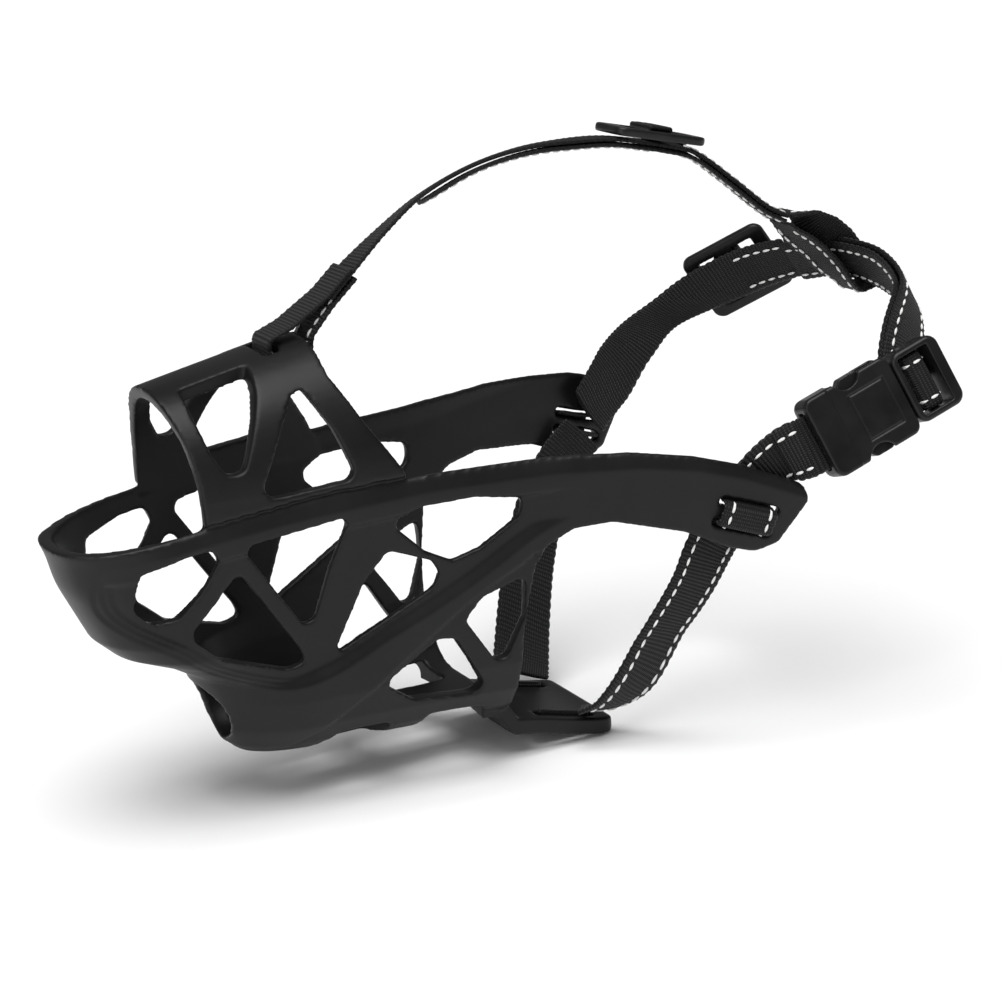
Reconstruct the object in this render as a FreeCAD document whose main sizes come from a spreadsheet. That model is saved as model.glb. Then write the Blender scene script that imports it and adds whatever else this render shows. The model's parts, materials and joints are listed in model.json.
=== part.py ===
"""Basket muzzle for a medium dog: moulded rubber basket, webbing harness, buckle and two sliders.

Lengths are in millimetres. Working coordinates: X runs from the front tip of the basket towards
the dog's neck, Y is across the snout and Z is up from the underside of the chin strap tab.
The near side is -Y and the far side is +Y. Every node is placed so that the origin of the
finished part is on the underside of the tab, on the plane of symmetry.
"""
import FreeCAD, Part
import math
import os

from FreeCAD import Vector

os.makedirs("parts", exist_ok=True)
doc = FreeCAD.newDocument("basket_muzzle")

# ---------------------------------------------------------------- driving dimensions
DIMENSIONS = {
    "originback": 120.5,       # the origin's distance behind the front tip
    "wallthick": 3.2,          # basket wall
    "floorheight": 7.0,        # underside of the chin above the tab's underside
    "rimheight": 71.0,         # height of the front rim
    "taper": 0.125,            # inward lean of the side walls below the rim
    "rearreach": 205.0,        # how far back the wall surface is drawn before it is trimmed
    "hoopfoot": 70.0,          # height where the nose arch grows out of the rail
    "hoopcrown": 100.0,        # height of the nose arch's crown at the front
    "crownrise": 0.19,         # how steeply the crown rises towards the strap hole
    "hoopthick": 3.2,
    "crownhalf": 7.0,          # half-width of the unbroken strip along the crown
    "windowmargin": 0.8,       # how far a lattice window opens beyond its drawn corners
    "tonguewidth": 8.0,        # radius of the tongue hole
    "tabfront": 112.0,
    "tabrear": 148.0,
    "tabhalf": 17.0,
    "tabthick": 4.2,
    "tabrecess": 1.9,          # raised underside where the chin strap crosses
    "webwidth": 15.0,          # harness webbing
    "webthick": 1.2,
    "slotlength": 17.0,
    "slotheight": 2.6,
    "slotpitch": 5.6,          # between the two slots of a wing
    "narrowwidth": 10.0,       # overhead webbing
    "strapgap": 0.4,           # clearance between webbing and what it lies against
    "bucklewidth": 21.5,
    "bucklethick": 7.4,
    "femalelength": 26.0,
    "malelength": 14.5,
    "buckleslot": 4.4,         # height of the space that the latch arms slide in
    "armlength": 15.0,
    "adjusterlength": 25.0,
    "adjusterwidth": 22.0,
    "sliderlength": 27.0,
    "sliderwidth": 14.0,
    "platethick": 2.2,
}

sheet = doc.addObject("Spreadsheet::Sheet", "sizes")
for row, (alias, value) in enumerate(DIMENSIONS.items(), start=1):
    sheet.set("A%d" % row, alias)
    sheet.set("B%d" % row, str(value))
    sheet.setAlias("B%d" % row, alias)
doc.recompute()

NODES = []


def size(alias):
    """A driving dimension, read back from the sheet."""
    return float(sheet.get(alias))


# ---------------------------------------------------------------- general shape helpers
def add_node(label, shape):
    """One sub-part of the muzzle, placed in the part's own frame."""
    node = doc.addObject("Part::Feature", label)
    node.Label = label
    node.Shape = shape.removeSplitter() if len(shape.Faces) < 400 else shape
    node.Placement = FreeCAD.Placement(Vector(-size("originback"), 0, 0), FreeCAD.Rotation())
    node.setExpression("Placement.Base.x", "-<<sizes>>.originback")
    NODES.append(node)
    return node


def mirrored(shape):
    """The same shape on the other side of the muzzle."""
    return shape.mirror(Vector(0, 0, 0), Vector(0, 1, 0))


def rounded_outline(corners, radius):
    """A closed wire through the corners, each rounded as far as its sides allow."""
    count = len(corners)
    edges = []
    previous_end = None
    first_start = None
    for index in range(count):
        here = corners[index]
        back = corners[index - 1].sub(here)
        ahead = corners[(index + 1) % count].sub(here)
        turn = back.getAngle(ahead)
        if abs(turn) < 1e-6:
            raise ValueError("two sides of an outline fold back on each other")
        room = 0.45 * min(back.Length, ahead.Length)
        trim = min(room, radius / math.tan(turn / 2))
        start = here.add(Vector(back).normalize().multiply(trim))
        end = here.add(Vector(ahead).normalize().multiply(trim))
        bisector = Vector(back).normalize().add(Vector(ahead).normalize())
        if bisector.Length > 0.02:
            reach = trim / math.cos(turn / 2) - trim * math.tan(turn / 2)
            middle = here.add(bisector.normalize().multiply(reach))
            arc = Part.Arc(start, middle, end).toShape()
        else:
            arc = Part.makeLine(start, end)
        if previous_end is not None:
            edges.append(Part.makeLine(previous_end, start))
        else:
            first_start = start
        edges.append(arc)
        previous_end = end
    edges.append(Part.makeLine(previous_end, first_start))
    return Part.Wire(edges)


def side_prism(points, radius, low=-80.0, high=80.0):
    """A prism across the muzzle whose outline is drawn in the side view, as (x, z) points."""
    corners = [Vector(x, low, z) for x, z in points]
    return Part.Face(rounded_outline(corners, radius)).extrude(Vector(0, high - low, 0))


def plan_prism(points, radius, low, high):
    """A vertical prism whose outline is drawn from above, as (x, y) points."""
    corners = [Vector(x, y, low) for x, y in points]
    return Part.Face(rounded_outline(corners, radius)).extrude(Vector(0, 0, high - low))


def widened(points, amount):
    """The same outline with every corner moved away from its middle."""
    middle_x = sum(x for x, _ in points) / len(points)
    middle_z = sum(z for _, z in points) / len(points)
    moved = []
    for x, z in points:
        grow = 1 + amount / math.hypot(x - middle_x, z - middle_z)
        moved.append((middle_x + (x - middle_x) * grow, middle_z + (z - middle_z) * grow))
    return moved


def interpolate(table, x):
    """Linear interpolation in a list of (x, value) pairs."""
    for (x0, v0), (x1, v1) in zip(table, table[1:]):
        if x <= x1:
            return v0 + (v1 - v0) * (x - x0) / (x1 - x0)
    return table[-1][1]


def across_and_face(stations, index):
    """The true directions across the webbing and out of its face at one station."""
    before = stations[max(index - 1, 0)][0]
    after = stations[min(index + 1, len(stations) - 1)][0]
    ahead = after.sub(before).normalize()
    across = ahead.cross(stations[index][1]).normalize()
    return across, across.cross(ahead).normalize()


def smooth_run(stations, steps=4):
    """The same run of webbing with rounded bends, as stations on a curve through the given ones."""
    run = []
    last = len(stations) - 1
    for index in range(last):
        p0 = stations[max(index - 1, 0)][0]
        p1, normal_from = stations[index]
        p2, normal_to = stations[index + 1]
        p3 = stations[min(index + 2, last)][0]
        for step in range(steps):
            t = step / steps
            weights = (-0.5 * t + t ** 2 - 0.5 * t ** 3, 1 - 2.5 * t ** 2 + 1.5 * t ** 3,
                       0.5 * t + 2 * t ** 2 - 1.5 * t ** 3, -0.5 * t ** 2 + 0.5 * t ** 3)
            centre = Vector(0, 0, 0)
            for point, weight in zip((p0, p1, p2, p3), weights):
                centre = centre.add(Vector(point).multiply(weight))
            normal = Vector(normal_from).multiply(1 - t).add(Vector(normal_to).multiply(t))
            run.append((centre, normal))
    run.append(stations[last])
    return run


def offset_run(stations, distance, sideways=0.0):
    """The same run of webbing, moved out of its face and across its width."""
    moved = []
    for index, (centre, normal) in enumerate(stations):
        across, face = across_and_face(stations, index)
        spot = centre.add(Vector(face).multiply(distance)).add(Vector(across).multiply(sideways))
        moved.append((spot, normal))
    return moved


def ribbon(stations, width, thickness):
    """Webbing laid through stations of (centre, face normal)."""
    wires = []
    for index, (centre, _) in enumerate(stations):
        across, face = across_and_face(stations, index)
        half_width = Vector(across).multiply(width / 2)
        half_thick = Vector(face).multiply(thickness / 2)
        corners = [
            centre.add(half_width).add(half_thick),
            centre.sub(half_width).add(half_thick),
            centre.sub(half_width).sub(half_thick),
            centre.add(half_width).sub(half_thick),
        ]
        wires.append(Part.makePolygon(corners + [corners[0]]))
    return Part.makeLoft(wires, True, True)


def folded_band(path, thickness, width, origin, along, up, across):
    """Webbing bent around straight edges: a flat path of (u, v) points, as wide as given.

    u is measured along one direction, v along another and the width along a third.
    """
    half = thickness / 2
    left, right = [], []
    last = len(path) - 1
    for index, (u, v) in enumerate(path):
        u0, v0 = path[max(index - 1, 0)]
        u1, v1 = path[min(index + 1, last)]
        before = math.atan2(v - v0, u - u0) if index > 0 else None
        after = math.atan2(v1 - v, u1 - u) if index < last else None
        before = after if before is None else before
        after = before if after is None else after
        turn = (after - before + math.pi) % (2 * math.pi) - math.pi
        heading = before + turn / 2
        reach = half / math.cos(turn / 2)
        left.append((u - reach * math.sin(heading), v + reach * math.cos(heading)))
        right.append((u + reach * math.sin(heading), v - reach * math.cos(heading)))
    outline = left + right[::-1]
    corners = []
    for u, v in outline:
        corner = Vector(origin).add(Vector(along).multiply(u)).add(Vector(up).multiply(v))
        corners.append(corner.sub(Vector(across).multiply(width / 2)))
    face = Part.Face(Part.makePolygon(corners + [corners[0]]))
    return face.extrude(Vector(across).multiply(width))


class Frame:
    """A local frame: u along, v across and w out of a plate's face."""

    def __init__(self, origin, along, out):
        self.origin = Vector(origin)
        self.along = Vector(along).normalize()
        self.across = Vector(out).cross(self.along).normalize()
        self.out = self.along.cross(self.across).normalize()

    def at(self, u, v, w):
        point = Vector(self.origin).add(Vector(self.along).multiply(u))
        return point.add(Vector(self.across).multiply(v)).add(Vector(self.out).multiply(w))

    def placement(self):
        matrix = FreeCAD.Matrix(
            self.along.x, self.across.x, self.out.x, self.origin.x,
            self.along.y, self.across.y, self.out.y, self.origin.y,
            self.along.z, self.across.z, self.out.z, self.origin.z,
            0, 0, 0, 1)
        return FreeCAD.Placement(matrix)

    def put(self, shape):
        """A shape drawn in local (u, v, w), moved to its place on the muzzle."""
        moved = shape.copy()
        moved.Placement = self.placement().multiply(moved.Placement)
        return moved


def local_box(u, v, w):
    """A box between the given pairs of local coordinates."""
    box = Part.makeBox(u[1] - u[0], v[1] - v[0], w[1] - w[0])
    box.translate(Vector(u[0], v[0], w[0]))
    return box


def rounded_plate(u, v, w, radius):
    """A plate with round corners, between the given pairs of local coordinates."""
    corners = [
        Vector(u[0], v[0], w[0]), Vector(u[1], v[0], w[0]),
        Vector(u[1], v[1], w[0]), Vector(u[0], v[1], w[0]),
    ]
    return Part.Face(rounded_outline(corners, radius)).extrude(Vector(0, 0, w[1] - w[0]))


# ---------------------------------------------------------------- the basket
# Half-width of the outer wall at the rim, behind the nose.
HALF_WIDTHS = [(0, 17.5), (20, 20.5), (33, 22.7), (46, 25.2), (60, 26.6), (83, 28.7),
               (115, 33.3), (150, 40.3), (189, 48.2), (220, 54.5)]
# The front of the wall on the plane of symmetry: (height, distance behind the tip, nose length,
# extra narrowing). The bumper scoops back under the nose and the chin drops from there.
LEVELS = [(7.0, 50.5, 20.0, 12.0), (8.0, 48.0, 23.0, 8.0), (10.5, 45.3, 26.0, 5.0),
          (16.0, 42.6, 29.0, 2.0), (24.0, 40.5, 30.0, 0.0), (30.0, 38.2, 30.0, 0.0),
          (35.0, 30.0, 30.0, 0.0), (39.0, 20.0, 31.0, 0.0), (43.5, 15.2, 32.0, 0.0),
          (56.0, 9.3, 33.0, 0.0), (71.0, 3.3, 33.0, 0.0), (80.0, 1.3, 34.0, 0.0)]
NOSE_STEPS = [0.0, 0.03, 0.10, 0.24, 0.45, 0.70, 1.0]
SIDE_STEPS = [0.12, 0.28, 0.46, 0.64, 0.82, 1.0]
NOSE_POWER = 2.2


def half_width(x, z, narrowing):
    """Half-width of the outer wall at a place in the side view."""
    lean = size("taper") * max(0.0, size("rimheight") - z)
    return interpolate(HALF_WIDTHS, x) - lean - narrowing


def wall_section(level, inset, extra_rear):
    """One horizontal slice of the wall's surface, closed across the rear."""
    z, front, reach, narrowing = level
    front = front + inset
    rear = size("rearreach") + extra_rear
    shoulder = half_width(front + reach, z, narrowing) - inset
    half = []
    for step in NOSE_STEPS:
        bulge = (1 - (1 - step) ** NOSE_POWER) ** (1 / NOSE_POWER)
        half.append((front + reach * step, shoulder * bulge))
    for step in SIDE_STEPS:
        x = front + reach + (rear - front - reach) * step
        half.append((x, half_width(x, z, narrowing) - inset))
    points = [Vector(x, -y, z) for x, y in reversed(half)] + [Vector(x, y, z) for x, y in half[1:]]
    curve = Part.BSplineCurve()
    knots = [index / (len(points) - 1) for index in range(len(points))]
    curve.interpolate(Points=points, Parameters=knots)
    return Part.Wire([curve.toShape(), Part.makeLine(points[-1], points[0])])


def wall_body(inset, extra_rear, lift):
    """The solid inside one surface of the wall, raised off the floor by lift."""
    wires = []
    for z, front, reach, narrowing in LEVELS:
        raised = z + lift * (LEVELS[-1][0] - z) / (LEVELS[-1][0] - LEVELS[0][0])
        wires.append(wall_section((raised, front, reach, narrowing), inset, extra_rear))
    return Part.makeLoft(wires, True, True)


# Side view of the lower basket: rim, rail, wing, rear post and floor.
BASKET_SIDE = [(-4, 68), (12, 68.5), (33, 71.3), (62, 75), (90, 76.5), (123, 76.5), (142, 75),
               (158, 72), (171, 68), (187, 61), (189, 57), (181, 46), (175, 44.4), (168, 46.5),
               (156, 52.5), (137, 58), (127, 57.5), (120, 54), (118, 50), (116, 39), (115, 29),
               (115, 7), (60, 6), (-4, 6)]
# Side view of the lattice windows below the rail.
WINDOWS = [
    [(20.5, 58.5), (21.3, 62.8), (31, 65.5), (37, 66.3), (38.3, 63.3), (34.5, 58), (28.5, 51.5),
     (23.5, 50.5), (20, 54)],
    [(43.8, 59.5), (32.8, 47), (33, 44.5), (40, 38.5), (54.8, 33.5), (59, 34.5), (57.5, 38)],
    [(45, 66), (70.7, 69.5), (65, 57), (62, 45.6), (59.2, 44.6)],
    [(80.5, 58.4), (75, 51.5), (68.2, 37), (69, 35.7), (91.3, 47.5), (93, 51), (91, 54.2)],
    [(81.8, 66), (89, 68.9), (102, 68.9), (114, 67.2), (113, 62.8), (103.5, 56.6), (97, 54.6),
     (90.7, 57.8)],
    [(115, 46.5), (104.5, 42.3), (100.7, 37.5), (108, 26.2), (110.8, 26.5), (114.6, 36.2)],
    [(93, 33), (82, 25.5), (81, 23.5), (88, 18.6), (103, 16.9), (105, 19.3), (97, 32.5)],
]
# Windows through the floor, drawn from above on the far side.
FLOOR_WINDOWS = [
    [(60, 7), (80, 6), (84, 17), (70, 16)],
    [(89, 6), (110, 5), (108, 20), (93, 19)],
]
# Side view of the nose arch and of its two windows on each side.
ARCH_SIDE = [(36.5, 66), (36, 82), (34.8, 91), (32, 101), (31, 115), (71.5, 115), (71.5, 102),
             (77, 91), (84.4, 79.5), (90, 66)]
ARCH_WINDOWS = [
    [(37.8, 102.6), (44, 103.6), (56, 106.5), (53.8, 99.5), (46.8, 84), (42.8, 83.3), (40, 88.5),
     (38.6, 95)],
    [(64.5, 100), (61.5, 98.5), (56, 90), (49, 76.8), (73.5, 78.5), (69.5, 90)],
]
ARCH_STATIONS = [24.0, 40.0, 56.0, 72.0, 92.0]
ARCH_ANGLES = [0, 12, 24, 36, 48, 60, 70, 80, 90]


def arch_section(x, inset):
    """One slice across the snout of the nose arch's surface."""
    foot = half_width(x, size("rimheight"), 0) - 0.4 - inset
    crown = size("hoopcrown") - size("hoopfoot") - inset
    crown += size("crownrise") * (x - ARCH_STATIONS[0])
    half = []
    for angle in ARCH_ANGLES:
        turn = math.radians(angle)
        half.append((foot * math.cos(turn) ** 0.9, crown * math.sin(turn) ** 0.9))
    points = [Vector(x, -y, size("hoopfoot") + z) for y, z in half]
    points += [Vector(x, y, size("hoopfoot") + z) for y, z in reversed(half[:-1])]
    curve = Part.BSplineCurve()
    curve.interpolate(Points=points, Parameters=[i / (len(points) - 1) for i in range(len(points))])
    return Part.Wire([curve.toShape(), Part.makeLine(points[-1], points[0])])


def arch_body(inset, overrun):
    """The solid under one surface of the nose arch."""
    stations = list(ARCH_STATIONS)
    stations[0] -= overrun
    stations[-1] += overrun
    return Part.makeLoft([arch_section(x, inset) for x in stations], True, True)


# The bar between a wing's two slots: its middle, the way along the slots and the way outwards.
WING_BAR = Frame((172, -41.1, 54.5), (0.93, -0.18, -0.33), (-0.19, -0.97, -0.125))


def wing_slots():
    """The two slots that the webbing crosses on the near wing."""
    slots = []
    for side in (-1, 1):
        middle = side * size("slotpitch") / 2
        slots.append(WING_BAR.put(rounded_plate(
            (-size("slotlength") / 2, size("slotlength") / 2),
            (middle - size("slotheight") / 2, middle + size("slotheight") / 2),
            (-12, 12), 1.2)))
    return slots


def tab_shape():
    """The tab behind the floor, with a slot on each side for the chin strap."""
    top = size("tabthick")
    floor = size("floorheight")
    front, rear, half = size("tabfront"), size("tabrear"), size("tabhalf")
    outline = [(front - 12, floor), (front + 1, floor - 1), (front + 5, 0), (rear, 0), (rear, top),
               (front + 7, top), (front + 3, floor + 2.9), (front - 12, floor + 2.9)]
    web = side_prism(outline, 1.5, -half, half)
    plan = plan_prism([(front - 14, -half), (rear, -half), (rear, half), (front - 14, half)],
                      4.0, -1, 20)
    tab = web.common(plan)
    slot_from, slot_to = CHIN_X - size("slotlength") / 2, CHIN_X + size("slotlength") / 2
    for side in (-1, 1):
        low, high = sorted((side * 10.5, side * 13.9))
        tab = tab.cut(local_box((slot_from, slot_to), (low, high), (-1, 12)))
    return tab.cut(local_box((slot_from, slot_to), (-11, 11), (-1, size("tabrecess"))))


CHIN_X = 134.5


def basket_shape():
    """The moulded basket: bumper, lattice walls, wings, nose arch, chin and tab in one piece."""
    wall = wall_body(0.0, 0.0, 0.0).cut(wall_body(size("wallthick"), 8.0, size("wallthick")))
    wall = wall.common(side_prism(BASKET_SIDE, 3.0))
    for outline in WINDOWS:
        wall = wall.cut(side_prism(widened(outline, size("windowmargin")), 2.0))
    arch = arch_body(0.0, 0.0).cut(arch_body(size("hoopthick"), 5.0))
    arch = arch.common(side_prism(ARCH_SIDE, 2.0))
    for outline in ARCH_WINDOWS:
        for low, high in ((-80, -size("crownhalf")), (size("crownhalf"), 80)):
            arch = arch.cut(side_prism(outline, 2.5, low, high))
    strap_hole = plan_prism([(60.5, -6.5), (65, -6.5), (65, 6.5), (60.5, 6.5)], 1.8, 90, 120)
    arch = arch.cut(strap_hole)
    basket = wall.fuse(arch).fuse(tab_shape())
    for outline in FLOOR_WINDOWS:
        opening = plan_prism(outline, 2.0, -5, 12)
        basket = basket.cut(opening).cut(mirrored(opening))
    for slot in wing_slots():
        basket = basket.cut(slot).cut(mirrored(slot))
    tongue = Part.makeCylinder(size("tonguewidth"), 18, Vector(36.5, 0, 16.5), Vector(0.9, 0, 0.42))
    return basket.cut(tongue)


add_node("basket", basket_shape())

# ---------------------------------------------------------------- webbing at the wings and chin
WEB, THICK = size("webwidth"), size("webthick")
WRAP_RISE = size("strapgap") + THICK / 2
WALL = size("wallthick")
INSIDE = WALL / 2 + 2.6


def wing_wrap():
    """The webbing that comes out of the upper slot, crosses the bar and goes in at the lower."""
    slot = size("slotpitch") / 2
    out = WALL / 2 + WRAP_RISE
    path = [(-slot, 1.2 - INSIDE), (-slot, out), (slot, out), (slot, 1.2 - INSIDE)]
    return folded_band(path, THICK, WEB, WING_BAR.origin, WING_BAR.across, WING_BAR.out,
                       WING_BAR.along)


wrap = wing_wrap()
add_node("wing_wrap_near", wrap)
add_node("wing_wrap_far", mirrored(wrap))

# From the inside of the lower slot, down and under to the tab.
def chin_stations(slack):
    """The chin strap on the near side; slack moves its free part rearwards."""
    return smooth_run([
        (WING_BAR.at(-1.5, -2.6, -INSIDE - 1.3), Vector(-0.1, -0.97, -0.1)),
        (Vector(164.0 + 0.6 * slack, -34.8, 45.0), Vector(-0.05, -0.99, -0.05)),
        (Vector(159.0 + slack, -33.6, 36.5), Vector(0.05, -0.99, -0.1)),
        (Vector(153.5 + slack, -30.6, 26.5), Vector(0.1, -0.97, -0.2)),
        (Vector(148.0 + slack, -25.4, 16.0), Vector(0.1, -0.88, -0.45)),
        (Vector(142.6 + 0.6 * slack, -20.0, 9.2), Vector(0.05, -0.55, -0.83)),
        (Vector(138.0, -15.8, 6.4), Vector(0, -0.15, -0.98)),
    ])


CHIN_NEAR, CHIN_FAR = chin_stations(2.5), chin_stations(-3.0)
add_node("chin_strap_near", ribbon(CHIN_NEAR, WEB, THICK))
add_node("chin_strap_far", mirrored(ribbon(CHIN_FAR, WEB, THICK)))

bridge_height = size("tabrecess") - size("strapgap") - THICK / 2
bridge_path = [(-12.2, 5.2), (-12.2, bridge_height), (12.2, bridge_height), (12.2, 5.2)]
add_node("chin_strap_bridge", folded_band(bridge_path, THICK, WEB, Vector(CHIN_X, 0, 0),
                                          Vector(0, 1, 0), Vector(0, 0, 1), Vector(1, 0, 0)))

# ---------------------------------------------------------------- side-release buckle
BUCKLE = Frame((190.4, -46, 71.2), (0.93, -0.087, 0.355), (-0.204, -0.929, 0.307))
HALF_B = size("bucklewidth") / 2
HALF_T = size("bucklethick") / 2
FEMALE = size("femalelength")
SLOT_T = size("buckleslot") / 2
MALE_BAR = FEMALE + 6.7


def female_shape():
    """The buckle's socket: a webbing bar, an end block and two plates with the space between."""
    body = rounded_plate((0, FEMALE), (-HALF_B, HALF_B), (-HALF_T, HALF_T), 2.5)
    body = body.makeFillet(0.9, [e for e in body.Edges if abs(e.BoundBox.ZLength) < 0.01])
    body = body.cut(local_box((3.4, 6.6), (-8, 8), (-9, 1.2)))
    body = body.cut(local_box((-1.0, 6.6), (-8, 8), (-1.2, 1.2)))
    body = body.cut(local_box((9.0, FEMALE + 1), (-20, 20), (-SLOT_T, SLOT_T)))
    for side in (-1, 1):
        notch = Part.makeCylinder(4.2, 20, Vector(13.5, side * (HALF_B + 1.4), -10))
        body = body.cut(notch)
    rib = local_box((8.8, 14.0), (-1.0, 1.0), (-SLOT_T - 0.2, SLOT_T + 0.2))
    posts = [Part.makeCylinder(0.7, 2 * SLOT_T + 0.4, Vector(22.5, side * 3.2, -SLOT_T - 0.2))
             for side in (-1, 1)]
    return body.fuse([rib] + posts)


def male_shape():
    """The buckle's plug: a webbing frame and the centre guide."""
    end = FEMALE + size("malelength")
    frame = rounded_plate((FEMALE + 0.3, end), (-HALF_B + 1, HALF_B - 1), (-HALF_T, HALF_T), 3.0)
    frame = frame.makeFillet(1.2, [e for e in frame.Edges if abs(e.BoundBox.ZLength) < 0.01])
    frame = frame.cut(local_box((FEMALE + 2.1, end - 3.3), (-7.9, 7.9), (-9, 9)))
    bar = local_box((MALE_BAR - 1.1, MALE_BAR + 1.1), (-8.2, 8.2), (-1.4, 0.8))
    guide = local_box((16.0, FEMALE + 1.0), (-2.0, 2.0), (-SLOT_T + 0.4, SLOT_T - 0.4))
    return frame.fuse([bar, guide])


def latch_shape(side):
    """One latch arm of the plug, with a round root and a thumb bulge in the socket's window."""
    root = FEMALE - 1.5
    outline = [(root, 5.2), (root, 8.2), (20.0, 8.4), (17.4, 10.9), (12.6, 10.9), (10.4, 8.6),
               (10.4, 6.6), (19.0, 5.6)]
    corners = [Vector(u, side * v, -SLOT_T + 0.5) for u, v in outline]
    arm = Part.Face(rounded_outline(corners, 1.2)).extrude(Vector(0, 0, 2 * SLOT_T - 1.0))
    hinge = Part.makeCylinder(1.5, 2 * SLOT_T - 1.0, Vector(root, side * 6.7, -SLOT_T + 0.5))
    return arm.fuse(hinge)


add_node("buckle_female", BUCKLE.put(female_shape()))
add_node("buckle_male", BUCKLE.put(male_shape()))
add_node("buckle_latch_upper", BUCKLE.put(latch_shape(1)))
add_node("buckle_latch_lower", BUCKLE.put(latch_shape(-1)))

MALE_FOLD = [(MALE_BAR - 2.1, -5.4), (MALE_BAR - 2.1, 1.8), (MALE_BAR + 2.1, 1.8),
             (MALE_BAR + 2.1, -5.4)]
add_node("buckle_strap_fold", folded_band(MALE_FOLD, THICK, WEB, BUCKLE.origin, BUCKLE.along,
                                          BUCKLE.out, BUCKLE.across))

# ---------------------------------------------------------------- neck webbing
OUT_OF_BUCKLE = BUCKLE.out
NECK_NEAR = smooth_run([
    (WING_BAR.at(0.5, 3.0, -INSIDE - 1.3), Vector(-0.1, -0.97, -0.1)),
    (Vector(178.6, -39.2, 63.6), Vector(0.0, -0.99, 0.0)),
    (Vector(184.3, -42.2, 68.2), Vector(-0.09, -0.98, 0.12)),
    (BUCKLE.at(-2.5, 0, 0), OUT_OF_BUCKLE),
    (BUCKLE.at(4.6, 0, 0), OUT_OF_BUCKLE),
])
NECK_FAR = smooth_run([
    (Vector(174.4, 36.4, 57.8), Vector(-0.1, 0.97, -0.1)),
    (Vector(181.0, 39.6, 62.0), Vector(0.0, 1.0, 0.0)),
    (Vector(187.0, 42.3, 66.2), Vector(0.1, 0.99, 0.0)),
    (Vector(193.2, 43.6, 71.5), Vector(0.25, 0.96, 0.0)),
    (Vector(200.8, 43.0, 80.4), Vector(0.45, 0.88, 0.1)),
    (Vector(208.4, 39.5, 87.8), Vector(0.55, 0.78, 0.25)),
    (Vector(215.3, 34.2, 93.8), Vector(0.6, 0.7, 0.4)),
    (Vector(222.9, 27.0, 98.9), Vector(0.62, 0.62, 0.45)),
    (Vector(229.5, 17.8, 102.6), Vector(0.65, 0.45, 0.58)),
])
NECK_REAR = smooth_run([
    (Vector(230.0, 17.0, 102.9), Vector(0.65, 0.45, 0.58)),
    (Vector(234.0, 7.0, 104.9), Vector(0.72, 0.15, 0.65)),
    (Vector(236.6, -4.0, 104.9), Vector(0.8, -0.15, 0.55)),
    (Vector(237.6, -15.0, 103.0), Vector(0.8, -0.45, 0.35)),
    (Vector(235.8, -26.0, 98.4), Vector(0.6, -0.75, 0.25)),
    (BUCKLE.at(41.0, 9.8, -12.5), Vector(0.15, -0.95, 0.25)),
    (BUCKLE.at(35.5, 4.0, -8.2), OUT_OF_BUCKLE),
    (BUCKLE.at(33.0, 0.0, -7.2), OUT_OF_BUCKLE),
])


LAYER = THICK + size("strapgap") + 0.3
add_node("neck_strap_near", ribbon(NECK_NEAR, WEB, THICK))
add_node("neck_strap_near_return", ribbon(offset_run(NECK_NEAR[10:13], LAYER), WEB, THICK))
add_node("neck_strap_far", ribbon(NECK_FAR, WEB, THICK))
add_node("neck_strap_rear", ribbon(NECK_REAR, WEB, THICK))
add_node("neck_strap_return", ribbon(offset_run(NECK_REAR, -LAYER), WEB, THICK))

# ---------------------------------------------------------------- three-bar sliders
BAR_HALF = 2.2
WINDOW_END = 0.66


def three_bar_plate(length, width, opening):
    """A three-bar slider: two windows beside a middle bar, lying behind its webbing."""
    below = -THICK / 2 - size("strapgap")
    depth = (below - size("platethick"), below)
    plate = rounded_plate((-length / 2, length / 2), (-width / 2, width / 2), depth, 3.0)
    plate = plate.makeFillet(0.7, [e for e in plate.Edges if abs(e.BoundBox.ZLength) < 0.01])
    for side in (-1, 1):
        low, high = sorted((side * BAR_HALF, side * WINDOW_END * length / 2))
        plate = plate.cut(local_box((low, high), (-opening / 2, opening / 2), (-9, 9)))
    return plate


def slider_wrap(frame, width, thickness):
    """The webbing that goes through the two windows and round the middle bar."""
    top = -THICK / 2 - size("strapgap")
    deep = top - size("platethick") - size("strapgap") - thickness / 2
    reach = BAR_HALF + size("strapgap") + thickness / 2
    path = [(-reach, top), (-reach, deep), (reach, deep), (reach, top)]
    return folded_band(path, thickness, width, frame.origin, frame.along, frame.out, frame.across)


ADJUSTER = Frame((220.6, 30.8, 96.8), (0.64, -0.60, 0.48), (-0.62, -0.66, -0.43))
adjuster = three_bar_plate(size("adjusterlength"), size("adjusterwidth"), WEB + 0.6)
add_node("neck_adjuster", ADJUSTER.put(adjuster))
add_node("neck_adjuster_wrap", slider_wrap(ADJUSTER, WEB, THICK))

SLIDER = Frame((172.5, 0, 142.8), (0.976, 0, -0.218), (-0.218, 0, -0.976))
slider = three_bar_plate(size("sliderlength"), size("sliderwidth"), size("narrowwidth") + 1.0)
add_node("overhead_slider", SLIDER.put(slider))
NARROW, THIN = size("narrowwidth"), 1.0
add_node("overhead_slider_wrap", slider_wrap(SLIDER, NARROW, THIN))

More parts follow.
